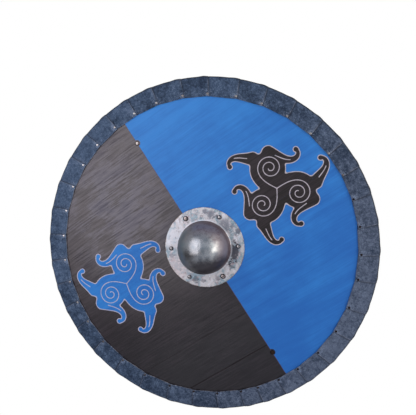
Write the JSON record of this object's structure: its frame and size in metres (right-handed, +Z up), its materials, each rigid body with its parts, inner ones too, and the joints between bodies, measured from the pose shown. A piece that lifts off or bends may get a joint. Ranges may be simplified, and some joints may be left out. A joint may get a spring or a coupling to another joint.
{
  "type": "round shield",
  "caption": "Round plank shield, painted half blue and half black, with a domed steel boss, a wooden grip bar behind and a rim of lapped folded leather.",
  "frame": {"origin": "the middle of the hand grip, on the centre line of the grip bar behind the boss", "axes": "+Z up along the grip bar, +X towards the blue half as seen from the front, and the painted front faces -Y"},
  "size_m": [0.7619, 0.1013, 0.7614],
  "materials": {
    "painted_wood": "matt paint on planed planks, one half blue and one half black-brown",
    "grip_wood": "oiled dark wood, worn smooth at the grip",
    "rim_leather": "slate-blue waxed leather, mottled and scuffed",
    "boss_steel": "antiqued steel, dark in the hollows and pale on the flange",
    "rivet_steel": "dark hammered steel"
  },
  "bodies": {
    "root": {"plank_1": "painted_wood", "plank_2": "painted_wood", "plank_3": "painted_wood", "plank_4": "painted_wood", "plank_5": "painted_wood", "plank_6": "painted_wood", "plank_7": "painted_wood", "plank_8": "painted_wood", "rim_piece_01": "rim_leather", "rim_piece_02": "rim_leather", "rim_piece_03": "rim_leather", "rim_piece_04": "rim_leather", "rim_piece_05": "rim_leather", "rim_piece_06": "rim_leather", "rim_piece_07": "rim_leather", "rim_piece_08": "rim_leather", "rim_piece_09": "rim_leather", "rim_piece_10": "rim_leather", "rim_piece_11": "rim_leather", "rim_piece_12": "rim_leather", "rim_piece_13": "rim_leather", "rim_piece_14": "rim_leather", "rim_piece_15": "rim_leather", "rim_piece_16": "rim_leather", "rim_piece_17": "rim_leather", "rim_piece_18": "rim_leather", "rim_piece_19": "rim_leather", "rim_piece_20": "rim_leather", "rim_piece_21": "rim_leather", "rim_piece_22": "rim_leather", "rim_piece_23": "rim_leather", "rim_piece_24": "rim_leather", "rim_piece_25": "rim_leather", "rim_piece_26": "rim_leather", "rim_piece_27": "rim_leather", "rim_piece_28": "rim_leather", "rim_piece_29": "rim_leather", "rim_piece_30": "rim_leather", "rim_piece_31": "rim_leather", "rim_piece_32": "rim_leather", "rim_piece_33": "rim_leather", "rim_piece_34": "rim_leather", "rim_piece_35": "rim_leather", "rim_piece_36": "rim_leather", "rim_piece_37": "rim_leather", "boss": "boss_steel", "grip_bar": "grip_wood", "boss_rivet_1": "rivet_steel", "boss_rivet_2": "rivet_steel", "boss_rivet_3": "rivet_steel", "boss_rivet_4": "rivet_steel", "grip_rivet_1": "rivet_steel", "grip_rivet_2": "rivet_steel", "grip_rivet_3": "rivet_steel", "grip_rivet_4": "rivet_steel", "rove_1": "rivet_steel", "rove_2": "rivet_steel", "rove_3": "rivet_steel", "rove_4": "rivet_steel"}
  },
  "joints": []
}
